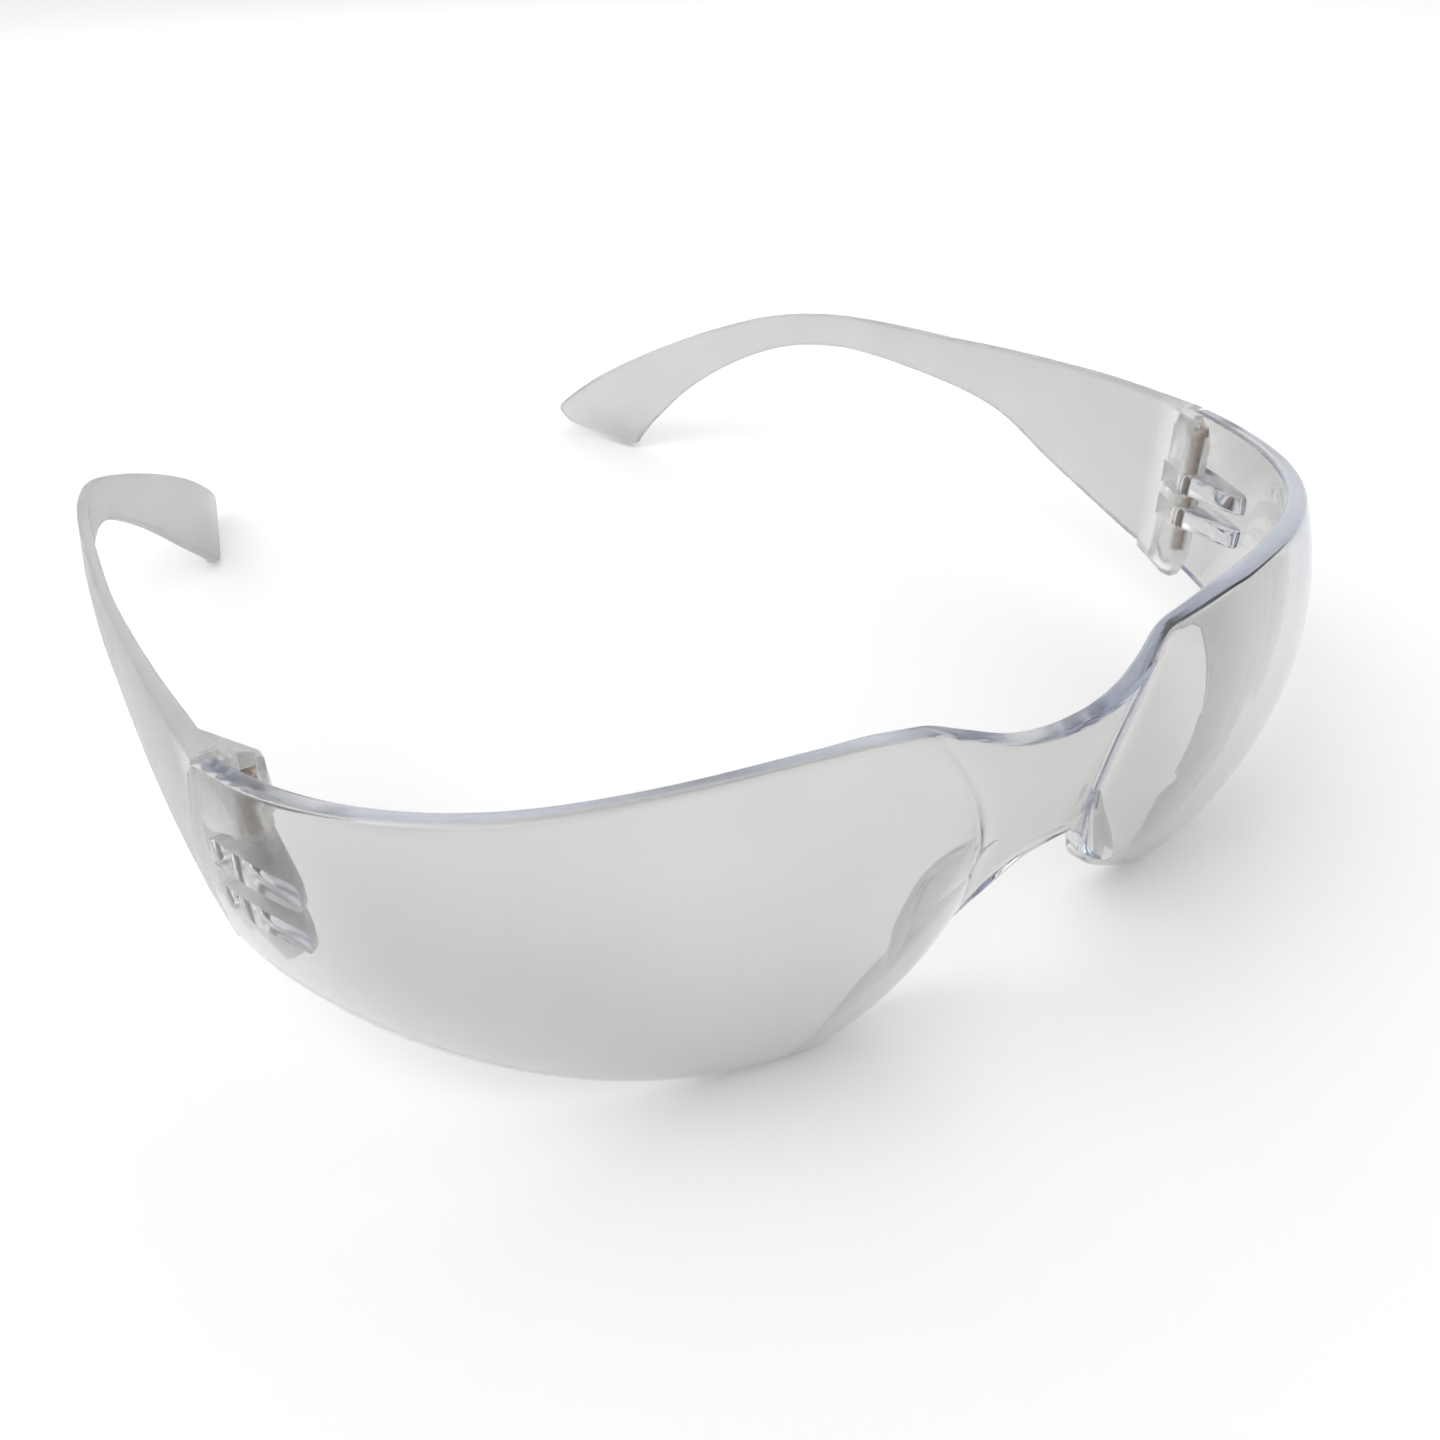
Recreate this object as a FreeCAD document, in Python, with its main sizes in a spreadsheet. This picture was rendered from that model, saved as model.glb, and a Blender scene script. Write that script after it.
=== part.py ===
import FreeCAD, Part
import Sketcher
import math
import os

# Clear one-piece safety glasses: a wrap-round lens moulding that carries its own bridge, nose
# flanges and hinge lugs, two temples, and the two metal pins that they turn on.
# X is the wearer's left, Y runs from the lens back to the temple tips, Z is up. The origin is on the
# surface that the glasses stand on, under the middle of the whole object.

Vec = FreeCAD.Vector

SIZES = [
    # front moulding, outer face
    ("lens_half_width", 72.2),      # half width of the wrap at its fullest height
    ("lens_depth", 63.5),           # front of the wrap to the centre of its plan curve
    ("lens_centre_y", -25.0),       # centre of the plan curve
    ("lens_square", 2.5),           # 2 is an ellipse, more is squarer
    ("lens_belly_radius", 38.0),    # curve of the wrap from brow to cheek
    ("lens_belly_z", 24.0),         # height where the wrap is fullest
    ("lens_wall", 2.2),             # wall at the middle
    ("lens_wall_end", 1.8),         # wall at the two side ends
    ("lens_end_angle", 75.4),       # plan angle of the side ends, from straight ahead
    ("lens_corner", 3.5),           # rounding of the upper side corners
    # nose part of the front moulding
    ("crease_x", 8.0),              # where the eye area meets the nose area, at its narrowest
    ("crease_z", 20.0),
    ("crease_flare", 0.022),        # how fast the crease opens above and below
    ("crease_blend", 1.4),          # softness of the crease
    ("sweep_back", 5.2),            # how far the nose area lies behind the plan curve
    ("sweep_ease", 0.17),           # how much less, per mm above the crease height
    ("sweep_from_x", 27.0),         # where the eye area begins to turn back
    ("bridge_top_y", -86.4),        # bridge centre line, front face, at its top edge
    ("bridge_lean", 0.12),          # how far it runs back, per mm down
    ("bridge_top_z", 34.0),
    ("flange_wall", 1.5),
    # hinge
    ("pin_x", 65.0),
    ("pin_y", -47.4),
    ("pin_radius", 0.75),
    ("pin_head_radius", 1.05),
    ("pin_head_height", 0.9),
    ("pin_low_z", 16.5),
    ("pin_sunk", 1.5),              # top of the pin below the top of the temple
    ("bore_clearance", 0.05),       # pin in the lugs
    ("lug_radius", 1.65),
    ("lug_height", 2.9),
    ("lug_low_z", 20.3),
    ("lug_pitch", 4.9),
    ("lug_gap", 0.2),               # lug to slot, above and below
    ("slot_radius", 4.9),
    ("knuckle_radius", 1.75),
    # temple
    ("temple_top_z", 35.8),
    ("temple_low_z", 12.6),
    ("temple_round", 0.6),
    ("nest_gap", 0.35),             # temple to the inner face and the end of the lens
]

doc = FreeCAD.newDocument("safety_glasses")
sheet = doc.addObject("Spreadsheet::Sheet", "sizes")
for row, (alias, value) in enumerate(SIZES, start=1):
    sheet.set("A%d" % row, alias)
    sheet.set("B%d" % row, str(value))
    sheet.setAlias("B%d" % row, alias)
doc.recompute()


def size(alias):
    return float(sheet.get(alias))


# Outlines of the front moulding, left half: plan angle in degrees, height in mm.
TOP_EDGE = [(0, 34.4), (3, 34.5), (7, 35.2), (11, 36.7), (15, 38.1), (21, 39.7), (26, 40.0), (32, 39.8),
            (40, 39.1), (48, 38.1), (56, 37.2), (64, 36.4), (70, 36.0), (75.4, 35.8)]
LOW_EDGE = [(0, 19.2), (1.6, 19.0), (3.2, 18.4), (5.5, 16.0), (8, 12.4), (10, 9.4), (12.2, 6.7), (15, 4.1),
            (19, 2.1), (24, 0.5), (29, 0.02), (34, 0.6), (40, 2.7), (48, 5.9), (56, 9.3), (64, 11.8),
            (70, 12.6), (73.5, 13.2), (75.4, 15.0)]


def smooth(knots, at):
    """Height on the smooth curve through the knots, by cubic Hermite pieces."""
    last = len(knots) - 1
    k = 0
    while k < last - 1 and at > knots[k + 1][0]:
        k += 1

    def slope(i):
        low = knots[max(i - 1, 0)]
        high = knots[min(i + 1, last)]
        return (high[1] - low[1]) / (high[0] - low[0])

    (x0, z0), (x1, z1) = knots[k], knots[k + 1]
    span = x1 - x0
    f = (at - x0) / span
    # the outline is level where it crosses the middle plane
    slope0 = 0.0 if k == 0 else slope(k)
    slope1 = slope(k + 1)
    return ((1 + 2 * f) * (1 - f) ** 2 * z0 + f * (1 - f) ** 2 * span * slope0
            + f * f * (3 - 2 * f) * z1 + f * f * (f - 1) * span * slope1)


def wrap_point(angle, z, depth):
    """Point of the front moulding at a plan angle and height, depth behind its outer face."""
    bulge = (z - size("lens_belly_z")) ** 2 / (2 * size("lens_belly_radius"))
    half = size("lens_half_width") - bulge - depth
    front = size("lens_depth") - bulge - depth
    power = size("lens_square")
    turn = math.radians(abs(angle))
    reach = ((math.sin(turn) / half) ** power + (math.cos(turn) / front) ** power) ** (-1 / power)
    x = reach * math.sin(turn)
    y = size("lens_centre_y") - reach * math.cos(turn)
    side = -1 if angle < 0 else 1
    return Vec(side * x, y + nose_sweep(x, y, z, depth), z)


def nose_sweep(x, y, z, depth):
    """How far back the surface is moved near the nose: the bridge side and the eye side, blended."""
    if x >= size("sweep_from_x"):
        return 0.0
    crease = size("crease_x") + size("crease_flare") * (z - size("crease_z")) ** 2
    back = size("sweep_back") - size("sweep_ease") * max(0.0, z - size("crease_z"))
    eye_side = back * ((size("sweep_from_x") - x) / (size("sweep_from_x") - crease)) ** 2
    middle = size("bridge_top_y") + size("bridge_lean") * (size("bridge_top_z") - z) + depth
    bridge_side = (back + y - middle) * (x / crease) ** 2 + middle - y
    blend = size("crease_blend")
    overlap = max(blend - abs(eye_side - bridge_side), 0.0)
    return min(eye_side, bridge_side) - overlap ** 2 / (4 * blend)


def wall(angle):
    ends = (angle / size("lens_end_angle")) ** 2
    return size("lens_wall") + (size("lens_wall_end") - size("lens_wall")) * ends


def solid_between(outer_rows, inner_rows):
    """Closed solid between two grids of points, with smooth faces and ruled edges."""
    faces = []
    skins = []
    for rows in (outer_rows, inner_rows):
        skin = Part.BSplineSurface()
        skin.interpolate(rows)
        skins.append(skin)
        faces.append(skin.toShape())
    u0, u1, v0, v1 = skins[0].bounds()
    for outer_edge, inner_edge in (
            (skins[0].uIso(u0), skins[1].uIso(u0)),
            (skins[0].uIso(u1), skins[1].uIso(u1)),
            (skins[0].vIso(v0), skins[1].vIso(v0)),
            (skins[0].vIso(v1), skins[1].vIso(v1))):
        faces.append(Part.makeRuledSurface(outer_edge.toShape(), inner_edge.toShape()))
    shell = Part.Shell(faces)
    shell.sewShape()
    solid = Part.Solid(shell)
    if solid.Volume < 0:
        solid.reverse()
    return solid


def wrap_angles():
    """Stations from the middle to one end, closer together at the nose and at the rounded end."""
    end = size("lens_end_angle")
    stations = [0.9 * k for k in range(17)]
    stations += [16, 18.5, 21, 24, 27, 30]
    stations += [34 + 4 * k for k in range(9)]
    stations += [69.2, 71.2, 72.6, 73.5, 74.2, 74.7, 75.05, 75.25, end]
    return stations


def top_height(angle):
    """Top edge, with its rounded corner at the side end."""
    height = smooth(TOP_EDGE, angle)
    radius = size("lens_corner")
    to_end = math.radians(size("lens_end_angle") - angle) * size("lens_half_width")
    if to_end < radius:
        height -= radius - math.sqrt(radius ** 2 - (radius - to_end) ** 2)
    return height


def lens_sheet_shape():
    across = 13
    right_to_left = [-a for a in reversed(wrap_angles()[1:])] + wrap_angles()
    rows = ([], [])
    for angle in right_to_left:
        low = smooth(LOW_EDGE, abs(angle))
        high = top_height(abs(angle))
        heights = [low + (high - low) * k / (across - 1) for k in range(across)]
        rows[0].append([wrap_point(angle, z, 0.0) for z in heights])
        rows[1].append([wrap_point(angle, z, wall(angle)) for z in heights])
    return solid_between(*rows)


def nest_shape(turn):
    """The room that the lens and its gap take out of the left temple, once that has turned so many degrees."""
    outside, low = -4.0, 6.0
    gap = size("nest_gap")
    past_end = math.degrees(gap / size("lens_half_width"))
    rows = ([], [])
    first, last = 60.0, size("lens_end_angle") + past_end
    for k in range(7):
        angle = first + (last - first) * k / 6
        high = top_height(min(angle, size("lens_end_angle"))) + gap
        heights = [low + (high - low) * j / 8 for j in range(9)]
        rows[0].append([wrap_point(angle, z, outside) for z in heights])
        rows[1].append([wrap_point(angle, z, wall(angle) + gap) for z in heights])
    nest = solid_between(*rows)
    nest.rotate(Vec(size("pin_x"), size("pin_y"), 0), Vec(0, 0, 1), -turn)
    return nest


# Nose flange, left: root on the front moulding as plan angle and height, and free rear edge.
FLANGE_ROOT = [(4.0, 21.4), (5.0, 19.4), (6.6, 16.2), (8.6, 13.0), (10.6, 10.2), (12.8, 7.8), (14.8, 6.2)]
FLANGE_FREE = [(5.4, -83.4, 22.8), (8.6, -80.9, 20.8), (11.8, -79.3, 17.5), (14.1, -79.2, 14.1),
               (15.6, -79.3, 10.8), (16.4, -79.4, 7.6), (16.6, -79.6, 5.4)]


def flange_shape(side):
    root = [wrap_point(side * angle, z, 0.55 * size("lens_wall")) for angle, z in FLANGE_ROOT]
    free = [Vec(side * x, y, z) for x, y, z in FLANGE_FREE]
    thick = size("flange_wall")
    rows = ([], [])
    for k, (near, far) in enumerate(zip(root, free)):
        along = root[min(k + 1, len(root) - 1)] - root[max(k - 1, 0)]
        normal = along.cross(far - near)
        normal.normalize()
        for row, shift in zip(rows, (-thick / 2, thick / 2)):
            row.append([near + (far - near) * (j / 3) + normal * shift for j in range(4)])
    return solid_between(*rows)


# Temple, left: top edge and bottom edge of each cross-section on the outer face, and the wall there.
TEMPLE_STATIONS = [
    ((68.9, -44.6, 35.8), (69.3, -44.6, 12.6), 2.4),
    ((69.1, -38.0, 35.9), (69.8, -38.0, 13.4), 2.3),
    ((69.1, -28.0, 35.7), (70.1, -28.0, 16.2), 1.9),
    ((68.8, -18.0, 35.2), (70.0, -18.0, 19.6), 1.6),
    ((68.3, -7.0, 34.5), (69.5, -8.0, 23.8), 1.4),
    ((67.5, 3.0, 33.7), (68.7, 3.0, 25.6), 1.4),
    ((65.6, 20.0, 32.7), (66.7, 19.5, 26.4), 1.4),
    ((63.7, 32.0, 31.3), (64.5, 30.0, 26.0), 1.4),
    ((60.6, 44.0, 28.7), (61.5, 41.0, 23.6), 1.5),
    ((55.7, 56.0, 24.2), (57.8, 51.5, 18.8), 1.6),
    ((49.7, 67.5, 18.5), (52.9, 60.0, 12.4), 1.8),
    ((43.4, 77.5, 12.2), (47.8, 65.2, 5.6), 1.9),
    ((39.3, 84.2, 6.6), (44.6, 66.4, 2.0), 2.0),
    ((38.0, 87.0, 4.3), (43.9, 66.8, 0.7), 2.0),
]
TIP_STATIONS = [
    ((37.9, 86.7, 2.6), (43.2, 67.9, 0.2), 2.0),
    ((38.2, 84.8, 0.8), (42.0, 71.4, 0.0), 2.0),
]


def rounded_section(top, low, toward_inside, thick, radius):
    """Closed outline of a flat bar section with rounded corners."""
    down = low - top
    height = down.Length
    down.normalize()

    def at(across, below):
        return top + toward_inside * across + down * below

    corners = [(0, 0, 1, 1), (thick, 0, -1, 1), (thick, height, -1, -1), (0, height, 1, -1)]
    edges = []
    ends = []
    for number, (across, below, inward, upward) in enumerate(corners):
        centre = (across + inward * radius, below + upward * radius)
        before = (across, centre[1]) if number % 2 == 0 else (centre[0], below)
        after = (centre[0], below) if number % 2 == 0 else (across, centre[1])
        bend = radius * math.sqrt(0.5)
        middle = (centre[0] - inward * bend, centre[1] - upward * bend)
        ends.append((at(*before), at(*middle), at(*after)))
    for number, (before, middle, after) in enumerate(ends):
        edges.append(Part.Arc(before, middle, after).toShape())
        edges.append(Part.LineSegment(after, ends[(number + 1) % 4][0]).toShape())
    return Part.Wire(edges)


def temple_arm_shape():
    stations = TEMPLE_STATIONS + TIP_STATIONS
    tops = [Vec(*top) for top, low, thick in stations]
    lows = [Vec(*low) for top, low, thick in stations]
    last = len(stations) - 1
    sections = []
    for k in range(last + 1):
        before, after = max(k - 1, 0), min(k + 1, last)
        along = (tops[after] + lows[after]) - (tops[before] + lows[before])
        toward_inside = (lows[k] - tops[k]).cross(along)
        toward_inside.normalize()
        if toward_inside.x > 0:
            toward_inside = toward_inside * -1
        thick = stations[k][2]
        sections.append(rounded_section(tops[k], lows[k], toward_inside, thick, size("temple_round")))
    arm_end = len(TEMPLE_STATIONS)
    arm = Part.makeLoft(sections[:arm_end], True, False)
    tip = Part.makeLoft(sections[arm_end - 1:], True, True)
    return arm.fuse(tip)


def feature(name, shape):
    piece = doc.addObject("Part::Feature", name)
    piece.Shape = shape
    return piece


def origin_plane(body, role):
    for item in body.Origin.OriginFeatures:
        if item.Role == role:
            return item
    raise ValueError(role)


def add_sketch(body, name, height_expression):
    """Sketch on the body's ground plane, lifted to a height from the sheet."""
    sketch = body.newObject("Sketcher::SketchObject", name)
    sketch.AttachmentSupport = [(origin_plane(body, "XY_Plane"), "")]
    sketch.MapMode = "FlatFace"
    sketch.setExpression("AttachmentOffset.Base.z", height_expression)
    return sketch


def add_pad(body, sketch, length_expression):
    pad = body.newObject("PartDesign::Pad", sketch.Name + "_pad")
    pad.Profile = sketch
    pad.setExpression("Length", length_expression)
    body.Tip = pad
    return pad


def draw_lines(sketch, points):
    for start, end in zip(points, points[1:]):
        sketch.addGeometry(Part.LineSegment(start, end), False)


def lug_body(number):
    """One hinge lug, left: a boss round the pin with a web that runs forward into the lens wall."""
    body = doc.addObject("PartDesign::Body", "left_lug_%d" % number)
    base = "sizes.lug_low_z + %d * sizes.lug_pitch" % number
    sketch = add_sketch(body, "left_lug_outline_%d" % number, base)
    x, y, r = size("pin_x"), size("pin_y"), size("lug_radius")
    inner = Vec(x - r, y, 0)
    rear = Vec(x + 0.3, y + math.sqrt(r ** 2 - 0.3 ** 2), 0)
    middle = Vec(x - r * math.sqrt(0.5), y + r * math.sqrt(0.5), 0)
    web = [rear, Vec(x + 4.3, y + 1.6, 0), Vec(x + 4.3, y, 0), Vec(x + 2.8, y - 4.6, 0),
           Vec(x + 0.4, y - 10.6, 0), Vec(x - r + 0.2, y - 9.2, 0), inner]
    draw_lines(sketch, web)
    sketch.addGeometry(Part.Arc(inner, middle, rear), False)
    add_pad(body, sketch, "sizes.lug_height")
    return body


def block_body():
    """Hinge block of the left temple: a full-height wedge that ends in the knuckle."""
    body = doc.addObject("PartDesign::Body", "left_block")
    sketch = add_sketch(body, "left_block_outline", "sizes.temple_low_z")
    x, y, r = size("pin_x"), size("pin_y"), size("knuckle_radius")
    inner = Vec(x - r, y, 0)
    front = Vec(x, y - r, 0)
    outer = Vec(x + r, y, 0)
    side = [outer, Vec(x + 3.9, y + 3.6, 0), Vec(x + 3.9, y + 9.4, 0), Vec(x + 2.1, y + 8.4, 0),
            Vec(x - r, y + 0.8, 0), inner]
    draw_lines(sketch, side)
    sketch.addGeometry(Part.Arc(inner, front, outer), False)
    add_pad(body, sketch, "sizes.temple_top_z - sizes.temple_low_z")
    return body


def cylinder(name, radius, height, base):
    piece = doc.addObject("Part::Cylinder", name)
    piece.setExpression("Radius", radius)
    piece.setExpression("Height", height)
    piece.setExpression("Placement.Base.x", "sizes.pin_x")
    piece.setExpression("Placement.Base.y", "sizes.pin_y")
    piece.setExpression("Placement.Base.z", base)
    return piece


def fuse(name, pieces):
    joined = doc.addObject("Part::MultiFuse", name)
    joined.Shapes = pieces
    return joined


def cut(name, base, tool):
    result = doc.addObject("Part::Cut", name)
    result.Base = base
    result.Tool = tool
    return result


def mirror(name, source):
    """The same piece on the wearer's right."""
    piece = doc.addObject("Part::Mirroring", name)
    piece.Source = source
    piece.Normal = Vec(1, 0, 0)
    return piece


def make_lens():
    lugs = [lug_body(number) for number in range(2)]
    blank = fuse("lens_blank", [feature("lens_sheet", lens_sheet_shape()),
                                feature("left_flange", flange_shape(1)),
                                feature("right_flange", flange_shape(-1))]
                 + lugs + [mirror("right_lug_%d" % n, lug) for n, lug in enumerate(lugs)])
    bore = cylinder("left_lug_bore", "sizes.pin_radius + sizes.bore_clearance",
                    "sizes.lug_pitch + sizes.lug_height + 2", "sizes.lug_low_z - 1")
    lens = cut("lens_cut", blank, fuse("lug_bores", [bore, mirror("right_lug_bore", bore)]))
    lens.Label = "lens"
    return lens


def make_temple_left():
    blank = fuse("temple_blank", [feature("left_arm", temple_arm_shape()), block_body()])
    head_room = cylinder("pin_head_room", "sizes.pin_head_radius + sizes.bore_clearance",
                         "sizes.pin_head_height + sizes.pin_sunk + 1",
                         "sizes.temple_top_z - sizes.pin_sunk - sizes.pin_head_height")
    shank_room = cylinder("pin_shank_room", "sizes.pin_radius",
                          "sizes.temple_top_z - sizes.pin_sunk - sizes.pin_low_z", "sizes.pin_low_z")
    slots = [cylinder("slot_%d" % number, "sizes.slot_radius", "sizes.lug_height + 2 * sizes.lug_gap",
                      "sizes.lug_low_z + %d * sizes.lug_pitch - sizes.lug_gap" % number)
             for number in range(2)]
    nests = [feature("left_nest_%d" % turn, nest_shape(turn)) for turn in (0, 27, 54, 82)]
    tools = fuse("temple_cuts", nests + [head_room, shank_room] + slots)
    temple = cut("temple_left_cut", blank, tools)
    temple.Label = "temple_left"
    return temple


def make_pin_left():
    """Headed pin, made as a turned piece: two round pads."""
    body = doc.addObject("PartDesign::Body", "left_pin")
    body.Label = "hinge_pin_left"
    top = "sizes.temple_top_z - sizes.pin_sunk"
    rounds = (("shank", "sizes.pin_radius", "sizes.pin_low_z", top + " - sizes.pin_low_z"),
              ("head", "sizes.pin_head_radius", top + " - sizes.pin_head_height", "sizes.pin_head_height"))
    for name, radius, base, length in rounds:
        sketch = add_sketch(body, "pin_" + name, base)
        sketch.addGeometry(Part.Circle(Vec(0, 0, 0), Vec(0, 0, 1), size("pin_radius")), False)
        sketch.setExpression("AttachmentOffset.Base.x", "sizes.pin_x")
        sketch.setExpression("AttachmentOffset.Base.y", "sizes.pin_y")
        constraint = sketch.addConstraint(Sketcher.Constraint("Radius", 0, size("pin_radius")))
        sketch.setExpression("Constraints[%d]" % constraint, radius)
        add_pad(body, sketch, length)
        doc.recompute()
    return body


def main():
    lens = make_lens()
    temple_left = make_temple_left()
    pin_left = make_pin_left()
    temple_right = mirror("temple_right_mirror", temple_left)
    temple_right.Label = "temple_right"
    pin_right = mirror("pin_right_mirror", pin_left)
    pin_right.Label = "hinge_pin_right"
    doc.recompute()
    for piece in doc.Objects:
        if "Invalid" in piece.State or "Error" in piece.State:
            raise RuntimeError("%s is not built" % piece.Label)
    os.makedirs("parts", exist_ok=True)
    for node in (lens, temple_left, temple_right, pin_left, pin_right):
        if node.Shape.isNull() or not node.Shape.isValid():
            raise RuntimeError("%s has no valid shape" % node.Label)
        print(node.Label, "volume", round(node.Shape.Volume, 1), "solids", len(node.Shape.Solids))
        node.Shape.exportStep("parts/%s.step" % node.Label)


main()
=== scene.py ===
import math

import bmesh
import bpy
from mathutils import Matrix, Vector


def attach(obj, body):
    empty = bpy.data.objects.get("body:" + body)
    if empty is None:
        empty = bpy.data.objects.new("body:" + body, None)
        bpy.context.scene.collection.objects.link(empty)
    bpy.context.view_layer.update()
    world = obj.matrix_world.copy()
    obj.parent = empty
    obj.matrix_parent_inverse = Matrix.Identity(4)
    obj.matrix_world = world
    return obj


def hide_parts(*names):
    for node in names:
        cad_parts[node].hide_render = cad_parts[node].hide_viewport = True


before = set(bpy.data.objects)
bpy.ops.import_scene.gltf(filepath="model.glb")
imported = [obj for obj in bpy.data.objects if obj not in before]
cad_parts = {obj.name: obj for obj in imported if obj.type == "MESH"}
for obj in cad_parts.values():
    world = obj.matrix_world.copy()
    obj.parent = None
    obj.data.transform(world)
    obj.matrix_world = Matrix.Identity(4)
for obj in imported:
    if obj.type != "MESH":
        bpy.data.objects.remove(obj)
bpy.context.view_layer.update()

# The looks of the safety glasses: the clear lens moulding, two frosted temples and two metal hinge pins,
# built on the frame's own sizes. Lengths below are in millimetres and are turned into metres by MM.
# X is the wearer's left, Y runs back from the lens, Z is up. Left pieces are built, right ones mirrored.

MM = 0.001

# Front moulding, outer face
LENS_HALF_WIDTH = 72.2
LENS_DEPTH = 63.5
LENS_CENTRE_Y = -25.0
LENS_SQUARE = 2.5
BELLY_RADIUS = 38.0
BELLY_Z = 24.0
WALL_MIDDLE = 2.2
WALL_END = 1.8
END_ANGLE = 75.4
END_CORNER = 3.5
RIM_RADIUS = 0.55

# Nose part of the front moulding
CREASE_X = 8.0
CREASE_Z = 20.0
CREASE_FLARE = 0.022
CREASE_BLEND = 0.9
SWEEP_BACK = 5.2
SWEEP_EASE = 0.17
SWEEP_FROM_X = 27.0
BRIDGE_TOP_Y = -86.4
BRIDGE_LEAN = 0.12
BRIDGE_TOP_Z = 34.0
FLANGE_WALL = 1.5

# Hinge
PIN = Vector((65.0, -47.4, 0.0))
PIN_RADIUS = 0.75
PIN_HEAD_RADIUS = 1.05
PIN_HEAD_HEIGHT = 0.9
PIN_LOW_Z = 16.5
PIN_SUNK = 1.5
BORE_CLEARANCE = 0.05
PRESS_CLEARANCE = 0.01
LUG_RADIUS = 1.65
LUG_HEIGHT = 2.9
LUG_LOW_Z = 20.3
LUG_PITCH = 4.9
LUG_GAP = 0.2
LUG_COUNT = 2
LUG_ROUND = 0.55
LUG_WEB = [(4.3, 1.6), (4.3, 0.0), (2.8, -4.6), (0.4, -10.6), (0.2 - LUG_RADIUS, -9.2)]
SLOT_RADIUS = 4.9
KNUCKLE_RADIUS = 1.75
BLOCK_SIDE = [(3.9, 3.6), (3.9, 9.4), (2.1, 8.4), (-KNUCKLE_RADIUS, 0.8)]
NEST_GAP = 0.35
FOLD_TURNS = (0, 27, 54, 82)

# Temple
TEMPLE_TOP_Z = 35.8
TEMPLE_LOW_Z = 12.6
TEMPLE_ROUND = 0.6
BLOCK_ROUND = 0.45
HINGE_CLEAR_Y = -45.0
ARM_FROSTED_Y = -38.0

# Outlines of the front moulding, left half: plan angle in degrees, height.
TOP_EDGE = [(0, 34.4), (3, 34.5), (7, 35.2), (11, 36.7), (15, 38.1), (21, 39.7), (26, 40.0), (32, 39.8),
            (40, 39.1), (48, 38.1), (56, 37.2), (64, 36.4), (70, 36.0), (75.4, 35.8)]
LOW_EDGE = [(0, 19.2), (1.6, 19.0), (3.2, 18.4), (5.5, 16.0), (8, 12.4), (10, 9.4), (12.2, 6.7), (15, 4.1),
            (19, 2.1), (24, 0.5), (29, 0.02), (34, 0.6), (40, 2.7), (48, 5.9), (56, 9.3), (64, 11.8),
            (70, 12.6), (73.5, 13.2), (75.4, 15.0)]

# Nose flange, left: root as plan angle and height, and free rear edge.
FLANGE_ROOT = [(4.0, 21.4), (5.0, 19.4), (6.6, 16.2), (8.6, 13.0), (10.6, 10.2), (12.8, 7.8), (14.8, 6.2)]
FLANGE_FREE = [(5.4, -83.4, 22.8), (8.6, -80.9, 20.8), (11.8, -79.3, 17.5), (14.1, -79.2, 14.1),
               (15.6, -79.3, 10.8), (16.4, -79.4, 7.6), (16.6, -79.6, 5.4)]

# Temple, left: top edge and bottom edge of each cross-section on the outer face, and the wall there.
TEMPLE_STATIONS = [
    ((68.9, -44.6, 35.8), (69.3, -44.6, 12.6), 2.4),
    ((69.1, -38.0, 35.8), (69.8, -38.0, 13.4), 2.3),
    ((69.1, -28.0, 35.7), (70.1, -28.0, 16.2), 1.9),
    ((68.8, -18.0, 35.2), (70.0, -18.0, 19.6), 1.6),
    ((68.3, -7.0, 34.5), (69.5, -8.0, 23.8), 1.4),
    ((67.5, 3.0, 33.7), (68.7, 3.0, 25.6), 1.4),
    ((65.6, 20.0, 32.7), (66.7, 19.5, 26.4), 1.4),
    ((63.7, 32.0, 31.3), (64.5, 30.0, 26.0), 1.4),
    ((60.6, 44.0, 28.7), (61.5, 41.0, 23.6), 1.5),
    ((55.7, 56.0, 24.2), (57.8, 51.5, 18.8), 1.6),
    ((49.7, 67.5, 18.5), (52.9, 60.0, 12.4), 1.8),
    ((43.4, 77.5, 12.2), (47.8, 65.2, 5.6), 1.9),
    ((39.3, 84.2, 6.6), (44.6, 66.4, 2.0), 2.0),
    ((38.0, 86.6, 4.3), (43.9, 66.8, 0.8), 2.0),
    ((37.9, 86.4, 2.8), (43.2, 67.9, 0.4), 1.9),
    ((38.3, 84.6, 1.2), (41.9, 71.2, 0.3), 1.4),
]


SHARP_DEGREES = 32

# Camera: turn, rise and tilt in degrees, place in metres, focal length in millimetres.
CAMERA_YAW = -33.45
CAMERA_PITCH = 34.62
CAMERA_ROLL = -1.76
CAMERA_PLACE = (-0.0805, -0.1477, 0.1021)
CAMERA_LENS = 32.04

# Soft panel lights: name, place in metres, width, height, power.
SOFTBOXES = [
    ("key", (-0.55, 0.05, 0.75), 0.7, 0.5, 2.1),
    ("back", (0.45, 0.65, 0.5), 0.8, 0.35, 1.1),
]


# ---------------------------------------------------------------- curves and surfaces

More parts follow.
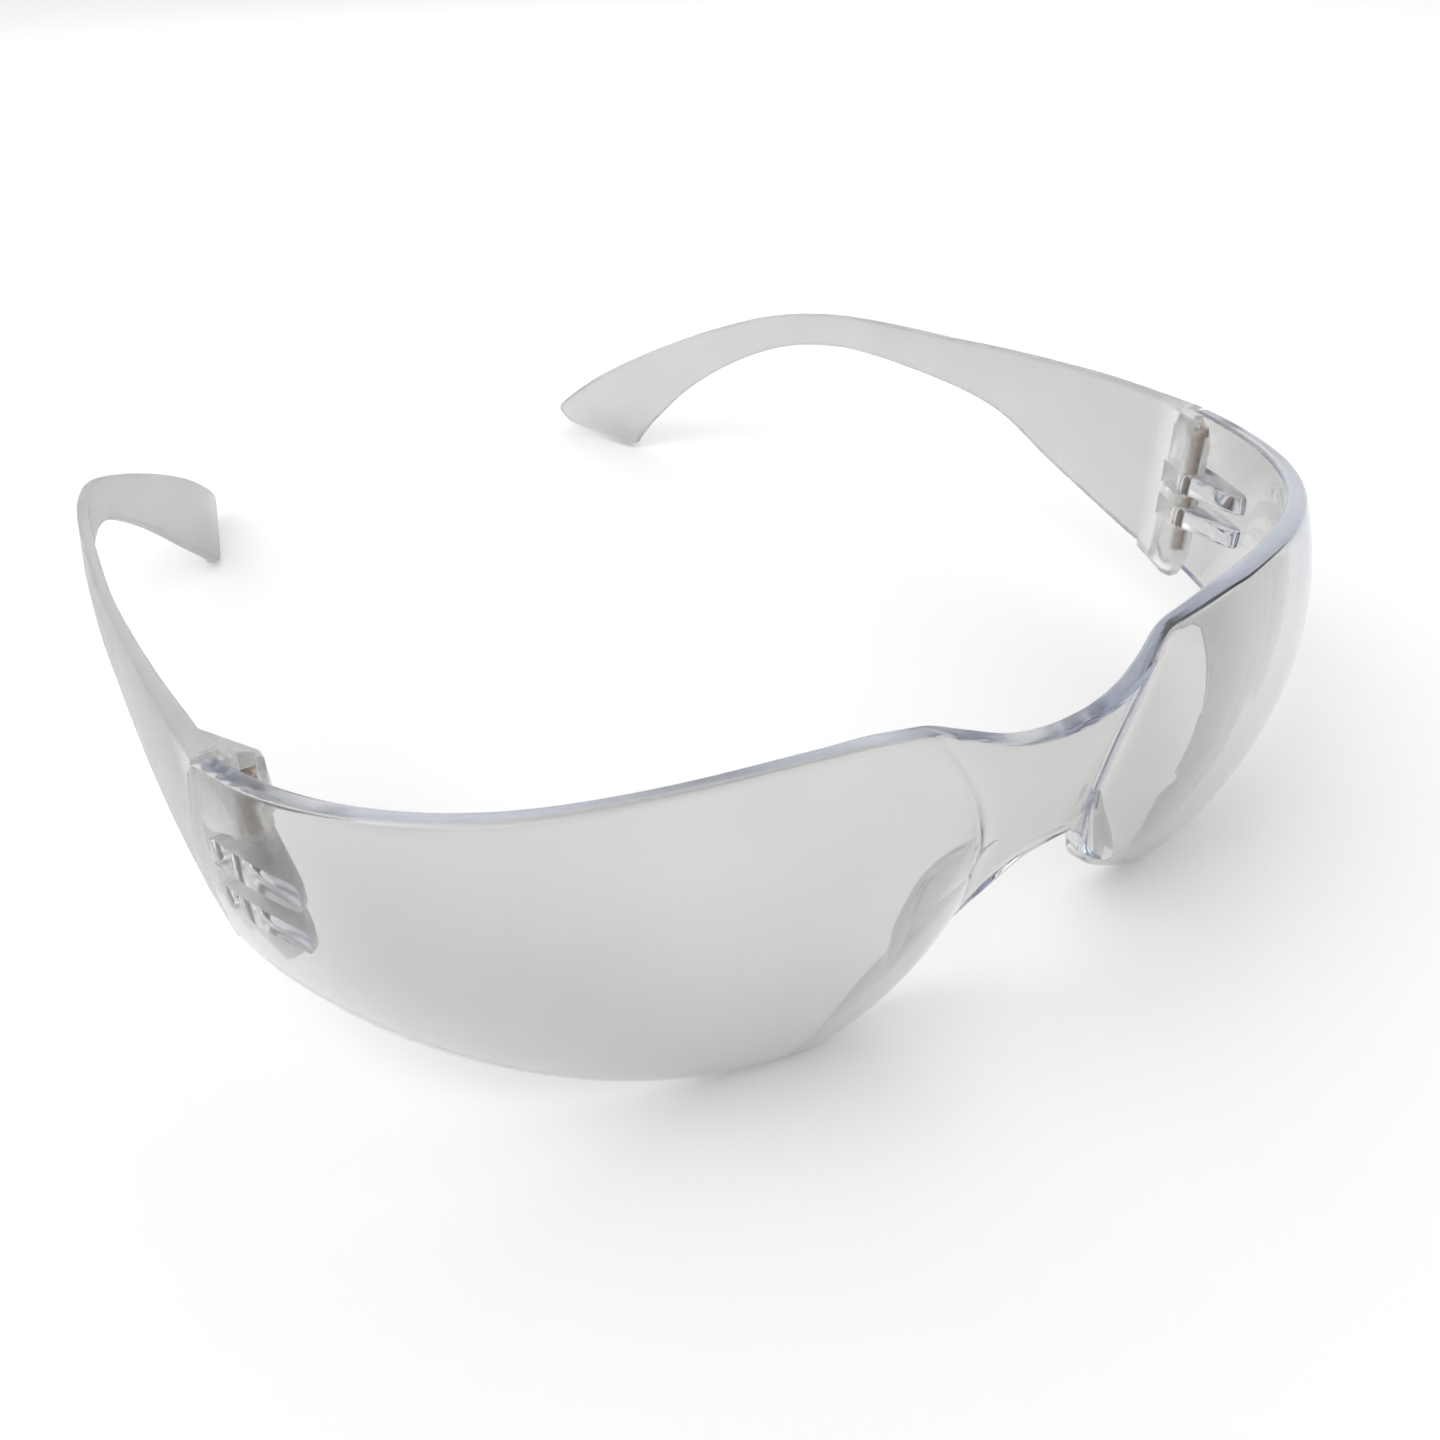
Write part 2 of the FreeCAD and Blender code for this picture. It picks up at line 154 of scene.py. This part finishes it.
def smooth(knots, at):
    """Height on the smooth curve through the knots, level where it crosses the middle plane."""
    last = len(knots) - 1
    k = 0
    while k < last - 1 and at > knots[k + 1][0]:
        k += 1

    def slope(i):
        low = knots[max(i - 1, 0)]
        high = knots[min(i + 1, last)]
        return (high[1] - low[1]) / (high[0] - low[0])

    (x0, z0), (x1, z1) = knots[k], knots[k + 1]
    span = x1 - x0
    f = (at - x0) / span
    slope0 = 0.0 if k == 0 else slope(k)
    slope1 = slope(k + 1)
    return ((1 + 2 * f) * (1 - f) ** 2 * z0 + f * (1 - f) ** 2 * span * slope0
            + f * f * (3 - 2 * f) * z1 + f * f * (f - 1) * span * slope1)


def along(points, at):
    """Point on the smooth curve through the points, at a share 0 to 1 of the way along their list."""
    last = len(points) - 1
    place = at * last
    k = min(int(place), last - 1)
    f = place - k
    a, b, c, d = (points[min(max(k + i, 0), last)] for i in (-1, 0, 1, 2))
    return (b * 2 + (c - a) * f + (a * 2 - b * 5 + c * 4 - d) * f ** 2
            + (b * 3 - a - c * 3 + d) * f ** 3) / 2


def nose_sweep(x, y, z, depth):
    """How far back the surface is moved near the nose: the bridge side and the eye side, blended."""
    if x >= SWEEP_FROM_X:
        return 0.0
    crease = CREASE_X + CREASE_FLARE * (z - CREASE_Z) ** 2
    back = SWEEP_BACK - SWEEP_EASE * max(0.0, z - CREASE_Z)
    eye_side = back * ((SWEEP_FROM_X - x) / (SWEEP_FROM_X - crease)) ** 2
    middle = BRIDGE_TOP_Y + BRIDGE_LEAN * (BRIDGE_TOP_Z - z) + depth
    bridge_side = (back + y - middle) * (x / crease) ** 2 + middle - y
    overlap = max(CREASE_BLEND - abs(eye_side - bridge_side), 0.0)
    return min(eye_side, bridge_side) - overlap ** 2 / (4 * CREASE_BLEND)


def wrap_point(angle, z, depth):
    """Point of the front moulding at a plan angle and height, depth behind its outer face."""
    bulge = (z - BELLY_Z) ** 2 / (2 * BELLY_RADIUS)
    half = LENS_HALF_WIDTH - bulge - depth
    front = LENS_DEPTH - bulge - depth
    turn = math.radians(abs(angle))
    reach = ((math.sin(turn) / half) ** LENS_SQUARE
             + (math.cos(turn) / front) ** LENS_SQUARE) ** (-1 / LENS_SQUARE)
    x = reach * math.sin(turn)
    y = LENS_CENTRE_Y - reach * math.cos(turn)
    side = -1 if angle < 0 else 1
    return Vector((side * x, y + nose_sweep(x, y, z, depth), z))


def wall(angle):
    return WALL_MIDDLE + (WALL_END - WALL_MIDDLE) * (angle / END_ANGLE) ** 2


def to_end(angle):
    """Distance along the wrap from a plan angle to the side end."""
    return math.radians(END_ANGLE - angle) * LENS_HALF_WIDTH


def top_height(angle):
    """Top edge, with its rounded corner at the side end."""
    left_over = max(END_CORNER - to_end(angle), 0.0)
    return smooth(TOP_EDGE, angle) - END_CORNER + math.sqrt(END_CORNER ** 2 - left_over ** 2)


# ---------------------------------------------------------------- mesh helpers

def new_object(name, mesh):
    obj = bpy.data.objects.new(name, mesh)
    bpy.context.scene.collection.objects.link(obj)
    return obj


def skin(name, loops):
    """Closed mesh through a row of closed loops, with both ends filled."""
    bm = bmesh.new()
    rings = [[bm.verts.new(point * MM) for point in loop] for loop in loops]
    count = len(loops[0])
    for near, far in zip(rings, rings[1:]):
        for k in range(count):
            after = (k + 1) % count
            bm.faces.new((near[k], near[after], far[after], far[k]))
    bm.faces.new(list(reversed(rings[0])))
    bm.faces.new(rings[-1])
    bmesh.ops.remove_doubles(bm, verts=bm.verts, dist=1e-7)
    bmesh.ops.dissolve_degenerate(bm, edges=bm.edges, dist=1e-7)
    bmesh.ops.recalc_face_normals(bm, faces=bm.faces)
    mesh = bpy.data.meshes.new(name)
    bm.to_mesh(mesh)
    bm.free()
    return new_object(name, mesh)


def arc(centre, radius, first, last, steps):
    """Points in plan on an arc, angles in degrees from +X."""
    turns = [math.radians(first + (last - first) * k / steps) for k in range(steps + 1)]
    return [Vector((centre.x + radius * math.cos(t), centre.y + radius * math.sin(t), 0)) for t in turns]


def from_pin(points):
    """Points in plan, given from the hinge axis."""
    return [PIN + Vector((x, y, 0)) for x, y in points]


def prism(name, outline, low, high, rounding):
    """Upright block over an outline, with rounded edges."""
    obj = skin(name, [[Vector((p.x, p.y, z)) for p in outline] for z in (low, high)])
    if rounding:
        bevel = obj.modifiers.new("rounding", "BEVEL")
        bevel.width = rounding * MM
        bevel.segments = 3
        bevel.limit_method = "ANGLE"
        bevel.angle_limit = math.radians(40)
        apply_modifiers(obj)
    return obj


def rod(name, radius, low, high):
    """Upright round bar on the hinge axis."""
    return prism(name, arc(PIN, radius, 0, 360, 48)[:-1], low, high, 0)


def apply_modifiers(obj):
    bpy.context.view_layer.update()
    shown = obj.evaluated_get(bpy.context.evaluated_depsgraph_get())
    mesh = bpy.data.meshes.new_from_object(shown)
    obj.modifiers.clear()
    obj.data = mesh


def combine(obj, tool, operation):
    """Joins a solid to another, or cuts it out, and removes the tool."""
    modifier = obj.modifiers.new("combine", "BOOLEAN")
    modifier.solver = "EXACT"
    modifier.operation = operation
    modifier.object = tool
    apply_modifiers(obj)
    bpy.data.objects.remove(tool)


def mirrored(name, source):
    """The same piece on the wearer's right."""
    mesh = source.data.copy()
    mesh.transform(Matrix.Diagonal((-1, 1, 1, 1)))
    mesh.flip_normals()
    return new_object(name, mesh)


def shade(obj):
    """Smooth shading, with the sharper edges kept sharp."""
    bm = bmesh.new()
    bm.from_mesh(obj.data)
    for face in bm.faces:
        face.smooth = True
    for edge in bm.edges:
        edge.smooth = edge.calc_face_angle(0.0) < math.radians(SHARP_DEGREES)
    bm.to_mesh(obj.data)
    bm.free()


# ---------------------------------------------------------------- lens moulding

def lens_section(angle):
    """Closed loop round the wall at a plan angle, with rounded rims, thinning to a rounded side end."""
    rows, bends = 44, 5
    low = smooth(LOW_EDGE, abs(angle))
    high = top_height(abs(angle))
    middle = wall(angle) / 2
    half = middle
    if to_end(abs(angle)) < middle:
        half = middle * math.sqrt(max(1 - (1 - to_end(abs(angle)) / middle) ** 2, 1e-4))
    rim = min(RIM_RADIUS, half)
    face = [low + rim + (high - low - 2 * rim) * k / rows for k in range(rows + 1)]
    quarter = [math.radians(90 * k / bends) for k in range(1, bends)]
    loop = [(z, middle - half) for z in face]
    loop += [(high - rim + rim * math.sin(t), middle - half + rim - rim * math.cos(t)) for t in quarter]
    loop += [(high, middle - half + rim), (high, middle + half - rim)]
    loop += [(high - rim + rim * math.cos(t), middle + half - rim + rim * math.sin(t)) for t in quarter]
    loop += [(z, middle + half) for z in reversed(face)]
    loop += [(low + rim - rim * math.sin(t), middle + half - rim + rim * math.cos(t)) for t in quarter]
    loop += [(low, middle + half - rim), (low, middle - half + rim)]
    loop += [(low + rim - rim * math.cos(t), middle - half + rim - rim * math.sin(t)) for t in quarter]
    return [wrap_point(angle, z, depth) for z, depth in loop]


def lens_angles():
    """Plan angles of the left half, closest together at the nose and at the rounded end."""
    nose = [0.4 * k for k in range(41)]
    side = [17 + k for k in range(56)]
    end = [END_ANGLE - 2.6 * (1 - math.sin(math.radians(90 * k / 16))) for k in range(17)]
    return nose + side + end


def flange(side):
    """Thin fin that runs back from the arch beside the nose, with a rounded free edge."""
    stations, reach_steps, bends = 40, 10, 6
    root = [wrap_point(side * angle, z, 0.5 * WALL_MIDDLE) for angle, z in FLANGE_ROOT]
    free = [Vector((side * x, y, z)) for x, y, z in FLANGE_FREE]
    loops = []
    for k in range(stations + 1):
        share = k / stations
        near, far = along(root, share), along(free, share)
        onward = along(root, min(share + 0.01, 1)) - along(root, max(share - 0.01, 0))
        out = (far - near).normalized()
        across = onward.cross(out).normalized() * (FLANGE_WALL / 2)
        tip = far - out * (FLANGE_WALL / 2)
        reach = [near + (tip - near) * (j / reach_steps) for j in range(reach_steps + 1)]
        turns = [math.pi * j / bends for j in range(1, bends)]
        bend = [tip + across * math.cos(t) + out * (FLANGE_WALL / 2 * math.sin(t)) for t in turns]
        loops.append([p + across for p in reach] + bend + [p - across for p in reversed(reach)])
    return skin("flange", loops)


def lug(number):
    """Hinge lug, left: a boss round the pin with a web that runs forward into the lens wall."""
    outline = arc(PIN, LUG_RADIUS, 180, 80, 14) + from_pin(LUG_WEB)
    low = LUG_LOW_Z + number * LUG_PITCH
    return prism("lug", outline, low, low + LUG_HEIGHT, LUG_ROUND)


def build_lens():
    left_half = lens_angles()
    angles = [-a for a in reversed(left_half[1:])] + left_half
    lens = skin("lens_moulding", [lens_section(a) for a in angles])
    for side in (1, -1):
        combine(lens, flange(side), "UNION")
    for number in range(LUG_COUNT):
        left = lug(number)
        right = mirrored("right_lug", left)
        combine(lens, left, "UNION")
        combine(lens, right, "UNION")
    bore = rod("bore", PIN_RADIUS + BORE_CLEARANCE, LUG_LOW_Z - 1,
               LUG_LOW_Z + LUG_PITCH + LUG_HEIGHT + 1)
    right_bore = mirrored("right_bore", bore)
    combine(lens, bore, "DIFFERENCE")
    combine(lens, right_bore, "DIFFERENCE")
    shade(lens)
    return lens


# ---------------------------------------------------------------- temples

def rounded_bar(top, low, inward, thick, radius):
    """Closed loop of a flat bar's cross-section with rounded corners."""
    bends = 4
    down = (low - top).normalized()
    height = (low - top).length
    centres = [(radius, radius, 180), (thick - radius, radius, 270),
               (thick - radius, height - radius, 0), (radius, height - radius, 90)]
    loop = []
    for across, below, first in centres:
        for k in range(bends + 1):
            t = math.radians(first + 90 * k / bends)
            aside = inward * (across + radius * math.cos(t))
            loop.append(top + aside + down * (below + radius * math.sin(t)))
    return loop


def temple_arm():
    """The left arm: a flat bar that bends down and inward and ends in a rounded tip."""
    steps = 150
    tops = [Vector(top) for top, low, thick in TEMPLE_STATIONS]
    lows = [Vector(low) for top, low, thick in TEMPLE_STATIONS]
    walls = [Vector((thick, 0, 0)) for top, low, thick in TEMPLE_STATIONS]
    loops = []
    for k in range(steps + 1):
        share = k / steps
        top, low = along(tops, share), along(lows, share)
        before, after = max(share - 0.01, 0), min(share + 0.01, 1)
        onward = along(tops, after) + along(lows, after) - along(tops, before) - along(lows, before)
        inward = (low - top).cross(onward).normalized()
        if inward.x > 0:
            inward.negate()
        loops.append(rounded_bar(top, low, inward, along(walls, share).x, TEMPLE_ROUND))
    return skin("temple_left_arm", loops)


def hinge_block():
    """Full-height wedge that ends in the knuckle."""
    outline = arc(PIN, KNUCKLE_RADIUS, 180, 360, 20) + from_pin(BLOCK_SIDE)
    return prism("block", outline, TEMPLE_LOW_Z, TEMPLE_TOP_Z, BLOCK_ROUND)


def lens_room(turn):
    """The room that the lens and its gap take out of the left temple once it has turned so far."""
    outside, first, steps = -4.0, 60.0, 14
    last = END_ANGLE + math.degrees(NEST_GAP / LENS_HALF_WIDTH)
    low, rows = 6.0, 16
    hinge = Matrix.Translation(PIN) @ Matrix.Rotation(math.radians(-turn), 4, "Z") @ Matrix.Translation(-PIN)
    loops = []
    for k in range(steps + 1):
        angle = first + (last - first) * k / steps
        high = top_height(min(angle, END_ANGLE)) + NEST_GAP
        heights = [low + (high - low) * j / rows for j in range(rows + 1)]
        outer = [wrap_point(angle, z, outside) for z in heights]
        inner = [wrap_point(angle, z, wall(angle) + NEST_GAP) for z in reversed(heights)]
        loops.append([hinge @ p for p in outer + inner])
    return skin("lens_room", loops)


def build_temple_left():
    temple = temple_arm()
    combine(temple, hinge_block(), "UNION")
    for turn in FOLD_TURNS:
        combine(temple, lens_room(turn), "DIFFERENCE")
    for number in range(LUG_COUNT):
        low = LUG_LOW_Z + number * LUG_PITCH - LUG_GAP
        combine(temple, rod("slot", SLOT_RADIUS, low, low + LUG_HEIGHT + 2 * LUG_GAP), "DIFFERENCE")
    head_low = TEMPLE_TOP_Z - PIN_SUNK - PIN_HEAD_HEIGHT
    combine(temple, rod("head_room", PIN_HEAD_RADIUS + BORE_CLEARANCE, head_low, TEMPLE_TOP_Z + 1),
            "DIFFERENCE")
    shank_low = PIN_LOW_Z - 2 * PRESS_CLEARANCE
    shank_room = rod("shank_room", PIN_RADIUS + PRESS_CLEARANCE, shank_low, head_low + 1)
    combine(temple, shank_room, "DIFFERENCE")
    shade(temple)
    return temple


def build_pin_left():
    """Turned pin: a chamfered shank and a low domed head with a drive dimple."""
    top = TEMPLE_TOP_Z - PIN_SUNK
    head_low = top - PIN_HEAD_HEIGHT
    r, head = PIN_RADIUS, PIN_HEAD_RADIUS
    profile = [(0.5 * r, PIN_LOW_Z), (r, PIN_LOW_Z + 0.3), (r, head_low), (head, head_low),
               (head, top - 0.35), (0.9 * head, top - 0.12), (0.7 * head, top), (0.35 * head, top),
               (0.25 * head, top - 0.25)]
    loops = [[Vector((p.x, p.y, z)) for p in arc(PIN, radius, 0, 360, 40)[:-1]] for radius, z in profile]
    pin = skin("pin_left_metal", loops)
    shade(pin)
    return pin


# ---------------------------------------------------------------- materials

def material(name):
    """New node material, with its shader and its object coordinates."""
    mat = bpy.data.materials.new(name)
    mat.use_nodes = True
    nodes = mat.node_tree.nodes
    place = nodes.new("ShaderNodeTexCoord").outputs["Object"]
    return mat, mat.node_tree, nodes["Principled BSDF"], place


def noise(tree, place, scale, detail):
    node = tree.nodes.new("ShaderNodeTexNoise")
    node.inputs["Scale"].default_value = scale
    node.inputs["Detail"].default_value = detail
    tree.links.new(place, node.inputs["Vector"])
    return node.outputs["Fac"]


def ramp(tree, fac, low, high, start=0.3, end=0.7):
    """Turns a 0 to 1 pattern into a range between two colours or grey levels."""
    node = tree.nodes.new("ShaderNodeValToRGB")
    node.color_ramp.elements[0].position = start
    node.color_ramp.elements[1].position = end
    node.color_ramp.elements[0].color = (*low, 1)
    node.color_ramp.elements[1].color = (*high, 1)
    tree.links.new(fac, node.inputs["Fac"])
    return node.outputs["Color"]


def grey(level):
    return (level, level, level)


def bump(tree, shader, height, strength, distance):
    node = tree.nodes.new("ShaderNodeBump")
    node.inputs["Strength"].default_value = strength
    node.inputs["Distance"].default_value = distance
    tree.links.new(height, node.inputs["Height"])
    tree.links.new(node.outputs["Normal"], shader.inputs["Normal"])


def facing_up(tree):
    """How much a surface faces straight up or down, 0 to 1."""
    normal = tree.nodes.new("ShaderNodeTexCoord").outputs["Normal"]
    parts = tree.nodes.new("ShaderNodeSeparateXYZ")
    tree.links.new(normal, parts.inputs["Vector"])
    size = tree.nodes.new("ShaderNodeMath")
    size.operation = "ABSOLUTE"
    tree.links.new(parts.outputs["Z"], size.inputs[0])
    return size.outputs["Value"]


def larger(tree, one, other):
    node = tree.nodes.new("ShaderNodeMath")
    node.operation = "MAXIMUM"
    tree.links.new(one, node.inputs[0])
    tree.links.new(other, node.inputs[1])
    return node.outputs["Value"]


def clear_lens():
    """Clear polycarbonate: faint handling haze, softer rims, a little flow, blue through its thickness."""
    mat, tree, shader, place = material("clear_lens")
    shader.inputs["IOR"].default_value = 1.585
    shader.inputs["Transmission Weight"].default_value = 1.0
    haze = noise(tree, place, 60, 5)
    tree.links.new(ramp(tree, haze, (0.655, 0.65, 0.635), (0.695, 0.69, 0.675)), shader.inputs["Base Color"])
    polish = ramp(tree, haze, grey(0.0), grey(0.045), 0.45, 0.9)
    rims = ramp(tree, facing_up(tree), grey(0.0), grey(0.24), 0.7, 0.86)
    tree.links.new(larger(tree, polish, rims), shader.inputs["Roughness"])
    bump(tree, shader, noise(tree, place, 45, 1), 0.05, 0.0004)
    depth = tree.nodes.new("ShaderNodeVolumeAbsorption")
    depth.inputs["Color"].default_value = (0.6, 0.72, 1.0, 1)
    depth.inputs["Density"].default_value = 12
    output = tree.nodes["Material Output"]
    tree.links.new(depth.outputs["Volume"], output.inputs["Volume"])
    return mat


def past_hinge(tree, place):
    """Rises from 0 at the hinge block to 1 on the arm behind it."""
    parts = tree.nodes.new("ShaderNodeSeparateXYZ")
    tree.links.new(place, parts.inputs["Vector"])
    share = tree.nodes.new("ShaderNodeMapRange")
    share.inputs["From Min"].default_value = HINGE_CLEAR_Y * MM
    share.inputs["From Max"].default_value = ARM_FROSTED_Y * MM
    tree.links.new(parts.outputs["Y"], share.inputs["Value"])
    return share.outputs["Result"]


def blend(tree, share, first, second):
    """Goes from one colour to another with a share of 0 to 1."""
    node = tree.nodes.new("ShaderNodeMixRGB")
    tree.links.new(share, node.inputs["Fac"])
    tree.links.new(first, node.inputs["Color1"])
    tree.links.new(second, node.inputs["Color2"])
    return node.outputs["Color"]


def frosted_temple():
    """Frosted plastic with a fine eroded grain and a cloudy tone, smoother round the hinge, where a lighter
    colour is painted light that lifts the shade the lens casts on the hinge block.
    """
    mat, tree, shader, place = material("frosted_temple")
    shader.inputs["IOR"].default_value = 1.4
    shader.inputs["Transmission Weight"].default_value = 0.9
    shader.inputs["Subsurface Weight"].default_value = 0.4
    shader.inputs["Subsurface Radius"].default_value = (1, 1, 1)
    shader.inputs["Subsurface Scale"].default_value = 0.0015
    cloud = noise(tree, place, 90, 4)
    grain = noise(tree, place, 5200, 2)
    share = past_hinge(tree, place)
    # Lighter colour round the hinge block: painted light that makes up for the shade the lens casts there.
    hinge_tone_painted_light = ramp(tree, cloud, (0.86, 0.86, 0.855), (0.91, 0.91, 0.905))
    frosted = ramp(tree, cloud, (0.66, 0.657, 0.647), (0.71, 0.707, 0.697))
    tree.links.new(blend(tree, share, hinge_tone_painted_light, frosted), shader.inputs["Base Color"])
    soft = ramp(tree, cloud, grey(0.18), grey(0.28))
    softer = ramp(tree, cloud, grey(0.4), grey(0.5))
    tree.links.new(blend(tree, share, soft, softer), shader.inputs["Roughness"])
    bump(tree, shader, grain, 0.35, 0.00004)
    return mat


def turned_metal():
    """Copper-toned pin metal with fine turning rings and dull spots."""
    mat, tree, shader, place = material("turned_metal")
    shader.inputs["Metallic"].default_value = 1.0
    spots = noise(tree, place, 900, 4)
    rings = tree.nodes.new("ShaderNodeTexWave")
    rings.bands_direction = "Z"
    rings.inputs["Scale"].default_value = 2500
    rings.inputs["Distortion"].default_value = 0.6
    tree.links.new(place, rings.inputs["Vector"])
    tree.links.new(ramp(tree, spots, (0.36, 0.27, 0.22), (0.6, 0.49, 0.42)), shader.inputs["Base Color"])
    tree.links.new(ramp(tree, spots, grey(0.22), grey(0.42)), shader.inputs["Roughness"])
    bump(tree, shader, rings.outputs["Fac"], 0.3, 0.00002)
    return mat


def pale_floor():
    mat, tree, shader, place = material("pale_floor")
    shader.inputs["Roughness"].default_value = 0.7
    tone = noise(tree, place, 6, 3)
    tree.links.new(ramp(tree, tone, grey(0.925), grey(0.935)), shader.inputs["Base Color"])
    return mat


# ---------------------------------------------------------------- floor, light and camera

def add_floor():
    bm = bmesh.new()
    bmesh.ops.create_grid(bm, x_segments=2, y_segments=2, size=3.0)
    mesh = bpy.data.meshes.new("floor")
    bm.to_mesh(mesh)
    bm.free()
    floor = new_object("floor", mesh)
    floor.data.materials.append(pale_floor())


def add_softbox(name, place, width, height, power):
    """Soft panel light that faces the object."""
    light = bpy.data.lights.new(name, "AREA")
    light.shape = "RECTANGLE"
    light.size = width
    light.size_y = height
    light.energy = power
    obj = new_object(name, light)
    obj.location = place
    obj.rotation_euler = Vector(place).to_track_quat("Z", "Y").to_euler()


def add_surroundings():
    world = bpy.data.worlds.new("studio")
    world.use_nodes = True
    backdrop = world.node_tree.nodes["Background"]
    backdrop.inputs["Color"].default_value = (1, 1, 1, 1)
    backdrop.inputs["Strength"].default_value = 0.93
    bpy.context.scene.world = world


def let_light_through():
    """Enough bounces for light to run down inside the clear wall and out at its rims."""
    cycles = bpy.context.scene.cycles
    cycles.max_bounces = 24
    cycles.glossy_bounces = 20
    cycles.transmission_bounces = 20


def add_camera():
    """Seen from the front, above, and the wearer's right, as close as a hand-held camera."""
    yaw, pitch, roll = (math.radians(turn) for turn in (CAMERA_YAW, CAMERA_PITCH, CAMERA_ROLL))
    back = Vector((math.sin(yaw) * math.cos(pitch), -math.cos(yaw) * math.cos(pitch), math.sin(pitch)))
    right = Vector((math.cos(yaw), math.sin(yaw), 0))
    up = back.cross(right)
    turned_right = right * math.cos(roll) + up * math.sin(roll)
    turned_up = up * math.cos(roll) - right * math.sin(roll)
    data = bpy.data.cameras.new("camera")
    data.lens = CAMERA_LENS
    data.clip_start = 0.005
    camera = new_object("camera", data)
    axes = Matrix((turned_right, turned_up, back)).transposed().to_4x4()
    camera.matrix_world = Matrix.Translation(CAMERA_PLACE) @ axes
    bpy.context.scene.camera = camera


# ---------------------------------------------------------------- the object

def add_piece(obj, node, body, mat):
    """Shows a built piece in place of its CAD node, on the same body."""
    obj.data.materials.clear()
    obj.data.materials.append(mat)
    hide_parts(node)
    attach(obj, body)


def build_glasses():
    frosted = frosted_temple()
    metal = turned_metal()
    add_piece(build_lens(), "lens", "lens", clear_lens())
    temple = build_temple_left()
    temple.name = "temple_left_frosted"
    pin = build_pin_left()
    temple_right = mirrored("temple_right_frosted", temple)
    pin_right = mirrored("pin_right_metal", pin)
    add_piece(temple_right, "temple_right", "temple_right", frosted)
    add_piece(pin_right, "hinge_pin_right", "temple_right", metal)
    add_piece(temple, "temple_left", "temple_left", frosted)
    add_piece(pin, "hinge_pin_left", "temple_left", metal)


build_glasses()
add_floor()
add_surroundings()
for softbox in SOFTBOXES:
    add_softbox(*softbox)
add_camera()
let_light_through()
bpy.context.scene.view_settings.view_transform = "Standard"
